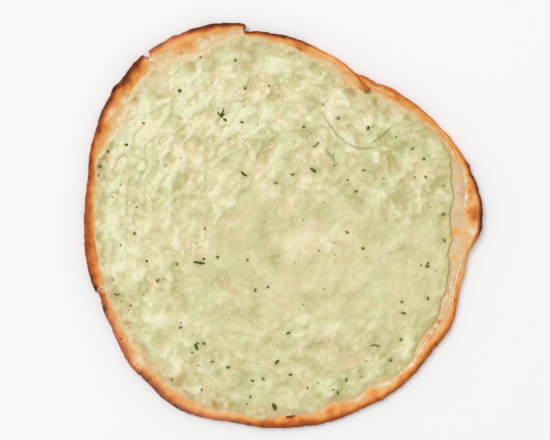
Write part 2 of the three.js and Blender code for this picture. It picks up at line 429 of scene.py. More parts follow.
# %% The baked dough finish
def baked_dough_finish():
    """Toast, shifted a little by two sizes of mottling, picks the colour. The toast mark also carries painted
    shade in the grooves beside the rim's wrinkles, and a painted highlight along the wrinkles' tops. Freckles
    add small brown spots where the dough is already coloured. A grey mark for wet dough, which also paints
    shade into the dimples, greys the colour. A white mark for dusting, torn crumb and steam bloom, which also
    paints highlights on the rolled wrinkles, whitens it, and mottling also sets the gloss."""
    finish = Finish("baked dough", Roughness=0.6, Specular_IOR_Level=0.12)
    cloudy = finish.effect(SOFT_MOTTLE, Size=0.006, Contrast=1.6)
    grainy = finish.effect(SOFT_MOTTLE, Size=0.0016, Contrast=1.6)
    freckles = finish.effect(FLECKS, Size=0.0034, Coverage=0.16, Radius=0.3)
    toast = finish.mark("toast")
    shifted = finish.reckon("MULTIPLY_ADD", cloudy, 0.18, finish.reckon("ADD", toast, -0.09))
    shifted = finish.reckon("MULTIPLY_ADD", grainy, 0.08, finish.reckon("ADD", shifted, -0.04))
    freckled = finish.reckon("MULTIPLY", freckles, finish.reckon("MULTIPLY", toast, 0.3))
    shifted = finish.reckon("ADD", shifted, freckled, clamp=True)
    colour = finish.scale_of_colours(
        shifted,
        [
            (0.0, paint(243, 222, 186)),
            (0.14, paint(232, 199, 152)),
            (0.3, paint(235, 179, 114)),
            (0.45, paint(236, 158, 80)),
            (0.6, paint(212, 120, 52)),
            (0.74, paint(174, 87, 36)),
            (0.87, paint(118, 52, 20)),
            (1.0, paint(68, 34, 15)),
        ],
    )
    # Grey for damp dough, and the same grey as painted shade in the dimples.
    damp_grain = finish.reckon("MULTIPLY_ADD", grainy, 0.6, 0.5)
    damp = finish.reckon("MULTIPLY", finish.mark("damp"), damp_grain, clamp=True)
    colour = finish.between(damp, colour, paint(210, 184, 153))
    # Whitening by flour, torn crumb and steam bloom, and painted highlights on the rolled wrinkles.
    flour_grain = finish.reckon("MULTIPLY_ADD", grainy, 0.7, 0.4)
    floury = finish.reckon("MULTIPLY", finish.mark("flour"), flour_grain, clamp=True)
    colour = finish.between(floury, colour, paint(246, 234, 216))
    finish.feed(Base_Color=colour, Roughness=finish.reckon("MULTIPLY_ADD", cloudy, 0.2, 0.54))
    finish.rough_skin(finish.effect(FINE_GRAIN, Size=0.0009, Finer=0.5), 0.00022, 0.7)
    return finish.material


# %% [markdown]
# ## Melted cheese
# White brined cheese melts unevenly: curds stay as pale lumps, and the fat and herb juice that run between
# them are yellow-green. So the creases are greener and the tops creamier; the colour also follows the lumps
# as painted shade in the creases and painted light on the tops, and a painted shade darkens the cheese beside
# the crust and along the edge where it steps. Broad patches are faintly pink or green, and the spots that
# dried near the crust are tan. Herb bits just under the skin show as soft olive dots, which are colour only,
# because they have no height.

# %% The melted cheese finish
def melted_cheese_finish():
    """Richness, from 0, olive and greasy, to 1, dry and creamy, picks the colour. It is one half, plus how
    far the curd mark and four sizes of mottling stand from their middles, and `lively` says how much they
    count. The curd mark follows the lumps, so as well as the curds' own colour it paints shade into the
    creases and light onto the tops. Then a mottling of its own tints it green or pink, and the other marks
    and two sizes of buried flecks go over it; two of those marks also paint shade along the creases, the
    stepped edge and beside the crust."""
    finish = Finish("melted cheese", Roughness=0.45, Specular_IOR_Level=0.3)
    broad = finish.effect(SOFT_MOTTLE, Size=0.027, Contrast=2.6)
    patchy = finish.effect(SOFT_MOTTLE, Size=0.0112, Contrast=2.6)
    small = finish.effect(SOFT_MOTTLE, Size=0.0044, Contrast=2.4)
    grainy = finish.effect(SOFT_MOTTLE, Size=0.0015, Contrast=2.2)
    lively = finish.mark("lively")
    # The curd mark follows the lumps: partly the curds' own colour, partly painted shade in the creases and
    # painted light on the tops.
    richness = finish.reckon("MULTIPLY_ADD", finish.mark("curd_and_lump_shading"), 1.2, -0.6)
    for mottle, weight in ((broad, 0.4), (patchy, 0.65), (small, 0.45), (grainy, 0.42)):
        richness = finish.reckon("MULTIPLY_ADD", mottle, weight, finish.reckon("ADD", richness, -weight / 2))
    richness = finish.reckon("MULTIPLY_ADD", richness, lively, 0.5, clamp=True)
    colour = finish.scale_of_colours(
        richness,
        [
            (0.0, paint(190, 177, 114)),
            (0.25, paint(209, 198, 146)),
            (0.5, paint(220, 211, 163)),
            (0.75, paint(231, 223, 180)),
            (1.0, paint(244, 238, 204)),
        ],
    )
    blushing = finish.reckon("POWER", finish.effect(SOFT_MOTTLE, Size=0.015, Contrast=3.2), 1.6)
    tint = finish.between(blushing, paint(190, 214, 150), paint(242, 198, 162))
    colour = finish.between(finish.reckon("MULTIPLY_ADD", lively, 0.06, 0.15), colour, tint)
    # Olive over the creases, partly herb juice and partly painted shade, with a painted shadow along the
    # cheese's stepped edge and painted shade beside the crust.
    olive = finish.reckon("MULTIPLY", finish.mark("crease_and_shade"), 0.75, clamp=True)
    colour = finish.between(olive, colour, paint(158, 152, 84))
    specks = finish.effect(FLECKS, Size=0.0052, Coverage=0.24, Radius=0.16)
    grains = finish.effect(FLECKS, Size=0.0024, Coverage=0.035, Radius=0.34)
    buried = finish.reckon("MULTIPLY", finish.reckon("MAXIMUM", specks, grains), small)
    colour = finish.between(finish.reckon("MULTIPLY", buried, 0.75), colour, paint(122, 132, 74))
    # The browned mark holds dried spots that really browned, and painted shade beside the crust.
    for mark, mark_paint in (
        ("stain", paint(172, 174, 104)),
        ("dry", paint(234, 206, 158)),
        ("browned_and_shaded", paint(184, 152, 80)),
    ):
        colour = finish.between(finish.mark(mark), colour, mark_paint)
    finish.feed(Base_Color=colour, Roughness=finish.reckon("MULTIPLY_ADD", patchy, 0.22, 0.36))
    finish.rough_skin(finish.effect(FINE_GRAIN, Size=0.0013, Finer=0.35), 0.0003, 0.7)
    return finish.material


# %% [markdown]
# ## Chopped herb
# The herb went into the oven raw, so it came out dark and dry, from bottle green to olive brown, with a
# faint sheen.

# %% The chopped herb finish
def chopped_herb_finish():
    """Mottling a few scraps wide makes one scrap greener and the next browner, and a fine one veins each."""
    finish = Finish("chopped herb", Roughness=0.6, Specular_IOR_Level=0.15)
    scrap_to_scrap = finish.effect(SOFT_MOTTLE, Size=0.012, Contrast=3.0)
    veins = finish.effect(SOFT_MOTTLE, Size=0.0006, Contrast=2.0)
    colour = finish.between(scrap_to_scrap, paint(46, 60, 10), paint(98, 90, 20))
    colour = finish.between(finish.reckon("MULTIPLY", veins, 0.35), colour, paint(118, 132, 62))
    colour = finish.between(finish.mark("buried"), colour, paint(172, 168, 112))
    finish.feed(Base_Color=colour)
    finish.rough_skin(finish.effect(FINE_GRAIN, Size=0.0004, Finer=0.5), 0.0001, 0.6)
    return finish.material


BAKED_DOUGH = baked_dough_finish()
MELTED_CHEESE = melted_cheese_finish()
CHOPPED_HERB = chopped_herb_finish()

# %% [markdown]
# ## Stretching the dough
# The bread is one closed skin. Think of a cake-slice cut through it at some bearing: a line that starts in
# the middle, runs out flat under the cheese, climbs a bare slope to the crest, rolls over the edge and
# comes back flat underneath. Carrying that line all the way round the bread, and letting its sizes change
# as it goes, sweeps out the skin. The line is a smooth curve through a few knots, so we only place the
# knots, for all bearings at once.

# %% Bearings of the slices
SLICES = 1180
WALK_STEPS = 7200  # how finely the turn is walked when the slices are spaced out


def crowded_bearings(count, crowding=3.5, spread=3.0):
    """Bearings all the way round, closer together near each tear: the turn is walked at a pace that slows
    down by `crowding` within a few degrees of a tear."""
    walk = np.linspace(0, FULL_TURN, WALK_STEPS + 1)
    effort = 1 + crowding * bell(degrees_past(walk[:, None], tears), spread).sum(axis=1)
    walked = np.concatenate([[0], np.cumsum((effort[1:] + effort[:-1]) / 2)])
    return np.interp(np.arange(count) / count * walked[-1], walked, walk)


slice_bearing = crowded_bearings(SLICES)
steps = np.diff(slice_bearing)
print("slices stand", steps.min().round(3), "to", steps.max().round(3), "degrees apart")

# %% [markdown]
# ### Laps
# Where the dough tore as it was stretched, one side slid over the other. The top sheet leans over the tear
# and rises, and the sheet beneath leans the other way and sinks. Only the rim leans: under the cheese the
# slices stay straight, so the lap dies out inwards as a real pleat does.

# %% How the rim leans at each lap
# near is the tear's bearing, and side is +1 where the sheet on top lies at the larger bearing. The top
# sheet leans, draws in and rises, the other one tucks under and sinks, and all that is felt over the reach
# to each side, and to the depth in from the edge. The greater the point, the sooner the lean dies out
# inwards, so that the sheet ends in a horn. Angles are degrees and lengths are millimetres.
LAP_FADE = 1.6  # the power by which a lap dies out over its reach
LAP_SIZES = ["near", "side", "lean", "tuck", "reach", "draw_in", "rise", "sink", "depth", "point"]
LAPS = [
    dict(zip(LAP_SIZES, sizes))
    for sizes in [
        (18.5, 1, 0.8, 0.1, 2.5, -0.5, 0.3, 0.4, 5.0, 1.0),
        (64.0, 1, 6.8, 1.8, 13.0, 4.6, 1.0, 1.8, 15.0, 1.0),
        (101.5, 1, 1.0, 0.1, 3.4, -0.5, 0.4, 1.2, 4.4, 4.0),
        (199.0, -1, 0.7, 0.3, 2.5, 0.0, 0.3, 0.5, 7.0, 1.0),
        (225.5, -1, 0.7, 0.3, 2.5, 0.2, 0.3, 0.5, 7.0, 1.0),
    ]
]


def lap_at(bearing, lap):
    """How one lap changes the rim at each bearing: the lean in degrees, and the change of radius and of
    height. Each is greatest at the tear and dies out, as a power curve, over the lap's reach."""
    past = lap["side"] * degrees_past(bearing, tear_near(lap["near"]))
    left = zero_to_one(1 - np.abs(past) / lap["reach"]) ** LAP_FADE
    on_top, beneath = np.where(past > 0, left, 0), np.where(past <= 0, left, 0)
    lean = lap["side"] * (lap["tuck"] * beneath - lap["lean"] * on_top)
    height = lap["rise"] * on_top - lap["sink"] * beneath
    return np.array([lean, -lap["draw_in"] * on_top, height])


lap_changes = [lap_at(slice_bearing, lap) for lap in LAPS]
_, radius_change, height_change = sum(lap_changes)


def unevenness(bearing, size, seed):
    """Swells read along a circle of the bread's own size, so that they join up after a full turn."""
    turn = np.radians(bearing)
    radius = crust["edge"].mean()
    return swells(radius * np.cos(turn), radius * np.sin(turn), size, seed)


# %% The line of one slice, for all slices at once
# Small nips (less than 0) and bulges of the edge that the model leaves out, in mm by bearing.
nips = from_list([
    (0, -0.2), (2, -1.1), (4.5, -1.3), (7, -0.6), (15, -0.6), (17, 0.2), (18.4, 1), (19.5, 1), (21, 0.1),
    (24, -0.6), (28, -0.9), (31, -1.3), (35, -0.8), (40, -0.8), (46, -0.2), (50, 0.2), (54, 0), (56, -1),
    (58, -0.3), (63, 0.4), (66, -0.4), (72, 0.2), (79, -0.4), (84, 0.4), (88.5, 1.2), (93, 0.6), (99, 0.7),
    (102, 0), (104, 0.8), (108, 0.5), (112, 0.7), (118, 0.2), (123, 0.7), (127, 1.2), (130.5, 1.6),
    (134, 1), (138, -0.4), (141, 1), (143, -0.1), (147, 0.4), (155, -0.4), (160, 0.4), (165, -0.4),
    (175, 0.3), (181, -0.3), (185, -1.1), (192, -0.9), (196, -0.2), (199, 0.4), (202, -0.1), (205, 0.5),
    (211, -0.6), (220, -0.3), (232, -0.8), (236, 0), (240, 0.8), (245, 0.9), (252, -0.2), (265, -0.2),
    (290, 0.4), (295, -0.4), (299, 0.3), (315, 0.2), (332, 0.9), (335, -0.3), (339, -0.6), (344, 1),
    (347, 1), (350, -0.4), (352.5, -1), (355.5, 0.7), (357, 0.7),
])
# How far the cheese ran past its line in the model, up the slope of the dough, in mm: most on the left.
cheese_spread = from_list([
    (0, 3.3), (10, 3.3), (16, 2.2), (24, 2.6), (30, 1.5), (36, 0), (80, 0), (95, 3), (100, 4), (103, 6.5),
    (107, 5.5), (111, 5), (117, 3), (128, 3), (136, 5), (141, 2.5), (150, 0), (156, 1), (161, 3.5),
    (168, 1), (195, 1), (201, 2.5), (207, 0), (216, -1), (224, 2), (236, 3), (250, 2), (268, 1.2), (275, 4),
    (281, 3), (286, 1), (292.5, 5), (298, 2), (303, 3.4), (312, 4), (320, 1.6), (326, 1.4), (331, 1.6),
    (335, -0.5), (345, 1.2), (350, 0.6), (355, 3.2),
])
# How much of the climb from the dough under the cheese up to the crest is done by the time the cheese ends.
climb_share = from_list([(20, 0.2), (50, 0.4), (100, 0.5), (250, 0.5), (300, 0.4), (335, 0.2)])

edge = edge_radius(slice_bearing) + nips(slice_bearing) + radius_change
edge = edge + 0.4 * unevenness(slice_bearing, 9, 11)
crest = crest_height(slice_bearing) + height_change + 0.5 * unevenness(slice_bearing, 26, 5)
lift = edge_lift(slice_bearing)
cheese_line = np.minimum(cheese_radius(slice_bearing) + cheese_spread(slice_bearing), edge - 4)
band = edge - cheese_line
crest_inset = np.clip(0.36 * band, 1.8, 8.5)
side_height = lift + 0.45 * (crest - lift)
level = np.zeros(SLICES)
climb = climb_share(slice_bearing) * (crest - DOUGH_TOP)
left_to_climb = crest - DOUGH_TOP - climb

# Each knot of the line is its radius, its height, and how many rows there are from it to the next knot.
KNOTS = [
    # Flat under the cheese, and the start of the climb to its edge.
    (0.3 * cheese_line, level + DOUGH_TOP, 2),
    (0.8 * cheese_line, level + DOUGH_TOP, 2),
    (cheese_line - 9, level + DOUGH_TOP, 3),
    (cheese_line - 4, DOUGH_TOP + 0.4 * climb, 4),
    (cheese_line, DOUGH_TOP + climb, 7),
    # The bare slope, up to the crest and over it.
    (cheese_line + 0.22 * band, DOUGH_TOP + climb + 0.3 * left_to_climb, 8),
    (cheese_line + 0.44 * band, DOUGH_TOP + climb + 0.7 * left_to_climb, 8),
    (edge - 1.3 * crest_inset, crest - 0.2, 7),
    (edge - 0.75 * crest_inset, crest, 7),
    (edge - 0.3 * crest_inset, crest - 0.6, 6),
    # Round the edge.
    (edge - 0.25, side_height + 0.35 * (crest - side_height), 5),
    (edge, side_height, 4),
    (edge - 0.6, lift + 0.35 * (side_height - lift), 4),
    # Back under, down to the flat foot.
    (edge - 2.6, lift, 4),
    (edge - 8, 0.4 * lift, 4),
    (edge - 16, level, 2),
    (0.75 * edge, level, 1),
    (0.35 * edge, level, 1),
]
WIDEST_KNOT = 11  # counted from 0


def shares_of_knots(rows):
    """How much of each knot goes into each row of a smooth (Catmull-Rom) line: between two knots, the line
    leaves each of them in the direction that joins its two neighbours."""
    last = len(rows) - 1
    table = []
    for knot, count in enumerate(rows[:-1]):
        t = np.arange(count) / count
        pulls = [
            (knot - 1, -0.5 * t + t**2 - 0.5 * t**3),
            (knot, 1 - 2.5 * t**2 + 1.5 * t**3),
            (knot + 1, 0.5 * t + 2 * t**2 - 1.5 * t**3),
            (knot + 2, -0.5 * t**2 + 0.5 * t**3),
        ]
        part = np.zeros((count, last + 1))
        for which, pull in pulls:
            part[:, np.clip(which, 0, last)] += pull
        table.append(part)
    return np.vstack([*table, np.eye(last + 1)[last:]])


row_counts = [rows for _, _, rows in KNOTS]
shares = shares_of_knots(row_counts)
dough_radius = shares @ np.array([radius for radius, _, _ in KNOTS])
dough_height = np.maximum(shares @ np.array([height for _, height, _ in KNOTS]), 0)
widest_row = sum(row_counts[:WIDEST_KNOT])
row = np.arange(len(shares))[:, None]
seen_from_above = row <= widest_row
print("dough grid:", dough_radius.shape, "and its widest row is", widest_row)

# %% Lean the rim, and place the skin
def lean_of(inset, lap, change):
    """The lean of one lap, in degrees: all of it at the edge, and dying out inwards as an S-shaped step to
    the power of its point."""
    return change[0] * smooth(1.15 * (1 - inset / lap["depth"])) ** lap["point"]


dough_inset = edge - dough_radius
leans = [lean_of(dough_inset, lap, change) for lap, change in zip(LAPS, lap_changes)]
dough_bearing = slice_bearing + sum(leans)
turn = np.radians(dough_bearing)
dough_skin = np.stack([dough_radius * np.cos(turn), dough_radius * np.sin(turn), dough_height], axis=-1)


def outward(skin):
    """The outward direction at each point of a closed grid: square to both its row and its column."""
    down = np.gradient(skin, axis=0)
    along = np.roll(skin, -1, axis=1) - np.roll(skin, 1, axis=1)
    square = np.cross(down, along)
    return square / np.maximum(np.linalg.norm(square, axis=2, keepdims=True), 1e-9)


# %% [markdown]
# ### Bubbles, dimples, tears and wrinkles
# Gas swells the rim into bubbles, and a bubble browns first because it stands nearest the heat. Between
# bubbles the bare band has dimples where fingertips pressed it. The near right lip was rolled as it was
# shaped, which left thin ridges along it. Each is placed by its bearing and by how far it lies in from the
# edge.

# %% Patches and strokes on the rim
def on_rim(bearing, inset):
    """The point that lies `inset` in from the edge on a bearing."""
    turn = np.radians(bearing)
    radius = edge_radius(bearing) - inset
    return radius * np.cos(turn), radius * np.sin(turn)


def patch(x, y, bearing, inset, length, width):
    """A bell-shaped patch, 1 in its middle, `length` long along the rim and `width` wide across it."""
    middle_x, middle_y = on_rim(bearing, inset)
    turn = np.radians(bearing)
    out = (x - middle_x) * np.cos(turn) + (y - middle_y) * np.sin(turn)
    along = (y - middle_y) * np.cos(turn) - (x - middle_x) * np.sin(turn)
    return np.exp(-((along / length) ** 2) - (out / width) ** 2)


def away_from_path(x, y, path):
    """The distance from each point to a path of straight pieces, and how far along the path, from 0 to 1,
    its nearest place is."""
    nearest = np.full(np.shape(x), np.inf)
    along = np.zeros(np.shape(x))
    pieces = len(path) - 1
    for number, ((ax, ay), (bx, by)) in enumerate(zip(path[:-1], path[1:])):
        length = np.hypot(bx - ax, by - ay)
        share = zero_to_one(((x - ax) * (bx - ax) + (y - ay) * (by - ay)) / length**2)
        distance = np.hypot(x - ax - share * (bx - ax), y - ay - share * (by - ay))
        closer = distance < nearest
        along = np.where(closer, (number + share) / pieces, along)
        nearest = np.where(closer, distance, nearest)
    return nearest, along


def stroke(x, y, path, width):
    """A line drawn with a soft brush along a path: 1 on the path, and thinning out towards both ends."""
    distance, along = away_from_path(x, y, path)
    return bell(distance, width) * smooth(5 * along) * smooth(5 * (1 - along))


# %% What stands out on the rim
# Bubbles and browned patches: bearing, inset, length, width, rise and extra toast.
BUBBLES = [
    (3.4, 7.8, 7.0, 5.6, 0.9, 0.42), (11.0, 6.4, 5.0, 3.4, 0.5, 0.16), (13.0, 4.0, 8.0, 2.6, 0.3, 0.16),
    (18.9, 0.8, 1.6, 1.6, 0.3, 0.14), (357.6, 15.5, 4.2, 9.0, 0.3, 0.2), (349.5, 9.4, 4.5, 2.6, 0.2, 0.16),
    (46.2, 5.6, 8.0, 2.8, 0.4, 0.04), (69.0, 5.0, 9.0, 2.2, 0.3, 0.06), (85.0, 7.0, 8.0, 4.0, 0.4, 0.36),
    (112.0, 4.6, 14.0, 2.2, 0.3, 0.0), (119.2, 10.6, 8.5, 4.2, 0.6, 0.34),
    (133.0, 4.2, 10.0, 3.2, 0.3, 0.0), (140.0, 5.6, 9.0, 3.0, 0.3, 0.04), (151.4, 5.4, 6.0, 3.0, 0.5, 0.12),
    (190.0, 4.2, 12.0, 2.6, 0.2, 0.0), (230.0, 4.6, 8.0, 3.0, 0.4, 0.04), (240.0, 5.4, 12.0, 2.8, 0.3, 0.0),
    (253.0, 4.8, 8.0, 2.0, 0.3, 0.0), (286.2, 8.0, 8.5, 4.4, 0.5, 0.26), (298.6, 7.0, 5.0, 3.6, 0.4, 0.3),
    (320.0, 4.0, 9.0, 2.0, 0.4, 0.04), (333.0, 2.8, 6.0, 1.8, 0.4, 0.02),
]
# Dimples in the bare band: bearing, inset, length, width and depth.
DIMPLES = [
    (17.0, 8.0, 1.8, 1.6, 0.9), (12.2, 11.6, 2.4, 1.6, 1.0), (9.4, 14.7, 2.4, 1.8, 1.1),
    (6.4, 15.6, 1.4, 1.3, 0.6), (3.7, 17.4, 2.4, 1.7, 1.1), (1.4, 16.2, 1.9, 1.6, 1.0),
    (355.3, 12.7, 2.2, 1.9, 1.0), (351.2, 8.8, 2.4, 1.6, 0.9), (30.0, 7.6, 5.0, 1.4, 0.5),
    (24.0, 8.6, 5.0, 1.4, 0.6),
]
# Skin that tore and shows the white crumb: bearing, inset, length and width.
TORN = [
    (128.6, 2.5, 3.0, 4.2), (146.6, 7.4, 4.6, 2.4), (199.2, 3.4, 2.0, 2.4), (223.3, 7.6, 5.2, 3.2),
    (358.4, 7.0, 3.0, 2.2), (302.6, 8.2, 4.4, 1.9), (312.0, 6.2, 5.0, 1.2), (293.4, 7.6, 3.0, 1.5),
]
# Scorched spots: bearing, inset and size.
SCORCHED = [
    (120.6, 12.6, 0.8), (141.2, 0.2, 1.2), (198.6, 1.2, 1.5), (205.1, 0.8, 1.8), (239.1, 0.4, 1.4),
    (272.2, 8.4, 1.6), (271.2, 8.0, 1.0), (273.4, 8.6, 1.0), (246.0, 6.5, 0.6), (215.0, 4.5, 0.6),
    (153.0, 4.0, 0.7), (8.4, 7.4, 0.6),
]
# Thin raised wrinkles: their bearings and insets in turn, then width and rise.
WRINKLES = [
    ([(17.8, 4.4), (15, 6.4), (11.9, 8.9), (8.9, 10.5), (7.1, 12.6), (5.3, 12.4), (1.8, 13.6)], 1.1, 1.1),
    ([(2, 4.8), (358.7, 4.0), (356, 4.6), (353.5, 3.6)], 0.9, 0.8),
    ([(352, 4.4), (345, 3.8), (339, 4.6), (334, 3.4)], 0.7, 1.0),
    ([(346, 6.4), (341, 7.2), (336, 5.8), (331, 7.4)], 0.7, 0.9),
    ([(331, 9.6), (327, 8.2), (323, 9.8), (319, 9.4)], 0.65, 1.2),
    ([(332, 6.0), (327, 9.4), (323, 7.4), (318, 7.8)], 0.65, 1.2),
    ([(320, 7.0), (313, 6.0), (306, 6.6), (300, 7.4)], 0.8, 0.9),
    ([(42, 3.4), (34, 2.8), (26, 3.0), (19.5, 3.6)], 0.6, 0.5),
    ([(38, 6.6), (31, 5.6), (25, 5.8), (20, 6.4)], 0.6, 0.5),
    ([(60, 5.4), (54, 4.2), (48, 3.2)], 0.7, 0.5),
]

# %% Raise and sink the skin
x, y = dough_skin[..., 0], dough_skin[..., 1]
bubbles = [(patch(x, y, *bubble[:4]), bubble[4], bubble[5]) for bubble in BUBBLES]
dimples = sum(depth * patch(x, y, *place) for *place, depth in DIMPLES)
torn = sum(patch(x, y, *place) for place in TORN)
torn = zero_to_one(torn * (0.8 + 0.7 * swells(x, y, 2.4, 31, 2)))
scorched = zero_to_one(sum(patch(x, y, *place, size, size) for *place, size in SCORCHED))


def wrinkle_lines(widening):
    """Every wrinkle drawn with a brush so many times its own width, and its rise."""
    return [
        (stroke(x, y, [on_rim(*place) for place in path], widening * width), rise)
        for path, width, rise in WRINKLES
    ]


wrinkles = wrinkle_lines(1)
wrinkled = zero_to_one(sum(line for line, _ in wrinkles))
# Painted highlights along the tops of the rolled wrinkles: colour only, strongest where a swell allows.
ridge_highlights = zero_to_one(sum(rise * line for line, rise in wrinkles)) * smooth(0.5 + 1.5 * swells(x, y, 3.5, 33))
# A furrow is what a broad stroke adds on both sides of a wrinkle. It adds no height: it is painted shade,
# given as extra toast.
furrow_shade = sum(rise * line for line, rise in wrinkle_lines(2.4))
furrow_shade = zero_to_one(furrow_shade - 1.5 * wrinkled) * smooth(0.5 + 1.3 * swells(x, y, 5, 35))

bare = smooth((dough_radius - cheese_line + 1) / 3)
rise = sum(height * bubble for bubble, height, _ in bubbles) - dimples
rise += sum(height * line for line, height in wrinkles)
rise += 0.28 * swells(x, y, 9, 21) + 0.3 * (pebbles(x, y, 5.5, 23) - 0.5) + 0.12 * swells(x, y, 2.4, 25, 2)
rise += torn * (0.5 * swells(x, y, 3.2, 27) - 0.3) - 0.25 * scorched
rise = np.where(seen_from_above, rise * bare, 0.14 * swells(x, y, 4, 29) * smooth(dough_height / 2))
dough_skin = dough_skin + outward(dough_skin) * rise[..., None]
dough_skin[..., 2] = np.maximum(dough_skin[..., 2], 0)
print("relief on the rim: from", rise.min().round(2), "to", rise.max().round(2), "mm")

# %% [markdown]
# ### How toasted each point is
# Toast runs from 0, raw white, to 1, charred. Across the rim it falls away from the edge inwards: a thin
# brown line, then a golden band. Both change round the bread, because one side stood closer to the fire.

# %% Toast on top
# How toasted the brown line along the edge is, by bearing.
line_toast = from_list([
    (0, 0.9), (8, 0.84), (17, 0.8), (21, 0.6), (30, 0.46), (40, 0.6), (58, 0.66), (66, 0.66), (75, 0.5),
    (79, 0.6), (83, 0.8), (90, 0.9), (100, 0.92), (102, 0.98), (112, 0.94), (118, 0.78), (122, 0.78),
    (127, 0.88), (131, 0.88), (145, 0.88), (155, 0.78), (165, 0.8), (180, 0.76), (190, 0.76), (198, 0.84),
    (205, 0.76), (214, 0.74), (225, 0.8), (235, 0.84), (245, 0.78), (255, 0.74), (270, 0.8), (285, 0.78),
    (300, 0.72), (315, 0.78), (330, 0.68), (340, 0.5), (346, 0.38), (352, 0.52),
])
# How wide the brown line is before it gives way to the golden band, in mm.
line_width = from_list([
    (0, 2.6), (8, 2.6), (17, 2.8), (24, 2.6), (30, 2), (40, 2.6), (60, 2.8), (75, 2), (82, 2.4), (90, 3.2),
    (97, 2.8), (100, 2.2), (103, 2.8), (108, 3.8), (112, 4.2), (117, 3.2), (128, 3.2), (133, 4.2),
    (146, 4.2), (156, 3.4), (180, 3.8), (192, 4), (210, 3.6), (235, 3.8), (250, 3.6), (270, 3.8),
    (300, 3.4), (315, 4), (330, 3.4), (340, 2.4), (350, 2),
])
# How toasted the golden band is where it starts, and how wide it is in mm.
gold_toast = from_list([
    (0, 0.38), (10, 0.34), (17.8, 0.34), (18.6, 0.46), (24, 0.4), (30, 0.34), (38, 0.45), (45, 0.62),
    (54, 0.55), (60, 0.5), (70, 0.42), (75, 0.34), (80, 0.42), (90, 0.56), (97, 0.52), (102, 0.44),
    (107, 0.7), (112, 0.8), (117, 0.5), (122, 0.46), (127, 0.64), (135, 0.84), (144, 0.84), (150, 0.6),
    (155, 0.52), (163, 0.58), (170, 0.7), (180, 0.8), (190, 0.86), (198, 0.74), (206, 0.58), (222, 0.58),
    (232, 0.8), (240, 0.72), (250, 0.42), (258, 0.54), (268, 0.8), (276, 0.74), (284, 0.52), (295, 0.4),
    (305, 0.5), (315, 0.56), (330, 0.5), (342, 0.2), (347, 0.18), (352, 0.28),
])
gold_width = from_list([
    (0, 10), (10, 10), (17.8, 6), (18.6, 8.5), (24, 8), (30, 8), (45, 11), (60, 9), (75, 7), (90, 10),
    (96, 7.5), (101, 6), (105, 7.5), (109, 11), (113, 11), (120, 9), (127, 9), (135, 13), (144, 14),
    (150, 11), (155, 10), (168, 11), (180, 11.5), (190, 14), (198, 12), (205, 10.5), (222, 9.5), (235, 12),
    (250, 8), (262, 11), (270, 13), (280, 11), (295, 9), (315, 7.5), (330, 8.5), (342, 5), (352, 7),
])
# How much the marks on the rim toast the skin, or keep it pale: the grooves beside the wrinkles take painted
# shade as extra toast, and the wrinkles' tops take a painted highlight as paleness.
FURROW_SHADE_TOAST, SCORCH_TOAST = 0.42, 0.5
RIDGE_HIGHLIGHT_PALENESS, TORN_PALENESS = 0.2, 0.85

inset = np.maximum(dough_inset, 0)
behind_line = smooth((inset - 2) / 2)
gold = gold_toast(dough_bearing)
gold = gold * (1 + 0.2 * unevenness(dough_bearing, 20, 51) + 0.2 * swells(x, y, 6, 52, 2))
width = gold_width(dough_bearing)
width = width * (1 + 0.25 * unevenness(dough_bearing, 16, 53) + 0.25 * swells(x, y, 5, 55))
line = line_toast(dough_bearing) * (1 + 0.08 * unevenness(dough_bearing, 7, 57))
plain = 0.12 + 0.1 * swells(x, y, 13, 59) + 0.07 * swells(x, y, 4, 60)
blistered = sum(extra * bubble for bubble, _, extra in bubbles)
toast = plain + (gold - plain) * zero_to_one(1 - inset / width) ** 0.8
toast += (line - toast) * np.exp(-((inset / line_width(dough_bearing)) ** 3)) + blistered
# Painted shade darkens the grooves beside the wrinkles, and a painted highlight pales the wrinkles' tops.
toast += FURROW_SHADE_TOAST * furrow_shade - RIDGE_HIGHLIGHT_PALENESS * ridge_highlights * behind_line
toast = toast * (1 - TORN_PALENESS * torn) + SCORCH_TOAST * scorched

# %% Toast underneath
# The oven floor scorches the underside in leopard spots, where the dough touched it hardest.
spots = smooth((pebbles(x, y, 11, 61) - 0.45) * 2) * smooth(0.5 + swells(x, y, 22, 63))
toast_beneath = 0.2 + 0.42 * spots + 0.16 * swells(x, y, 6, 65)
toast_beneath += (line - toast_beneath) * bell(inset, 3.5)
toast = zero_to_one(np.where(seen_from_above, toast, toast_beneath))
toast_above, toast_below = np.split(toast, [widest_row + 1])
print("toast: mean", toast_above.mean().round(2), "above and", toast_below.mean().round(2), "below")

# %% Damp and flour, with painted shade in the dimples and painted highlights on the wrinkles
# On the right the bare band is thin and damp, and looks grey beside the rest.
damp_from = from_list([
    (0, 10.0), (5, 9.5), (10, 7.0), (17.8, 3.5), (18.4, 5.5), (40, 5.5), (340, 3.5), (352, 6),
])
damp_side = from_list([(5, 1.0), (35, 0.8), (48, 0.0), (318, 0.0), (335, 0.7), (350, 1.0)])
damp = damp_side(dough_bearing) * smooth((inset - damp_from(dough_bearing)) / 2.5)
# The dimples are greyed as well, as painted shade.
damp = damp * (0.6 + 0.4 * swells(x, y, 6, 66)) + 0.7 * dimples
damp = damp * (1 - ridge_highlights) * (1 - smooth(8 * blistered))
damp = zero_to_one(np.where(seen_from_above, damp, 0))
# Steam from the cheese left a faint pale bloom on the flap at the far left and along the near left.
bloom = from_list([
    (115, 0), (119, 0.08), (126, 0.08), (130, 0), (200, 0), (208, 0.1), (226, 0.05), (250, 0.1), (266, 0),
])
# Torn skin is white with its own crumb; the rolled wrinkles are whitened as a painted highlight.
TORN_FLOUR, RIDGE_HIGHLIGHT_WHITENESS = 0.5, 0.45  # how white torn skin and rolled ridges are

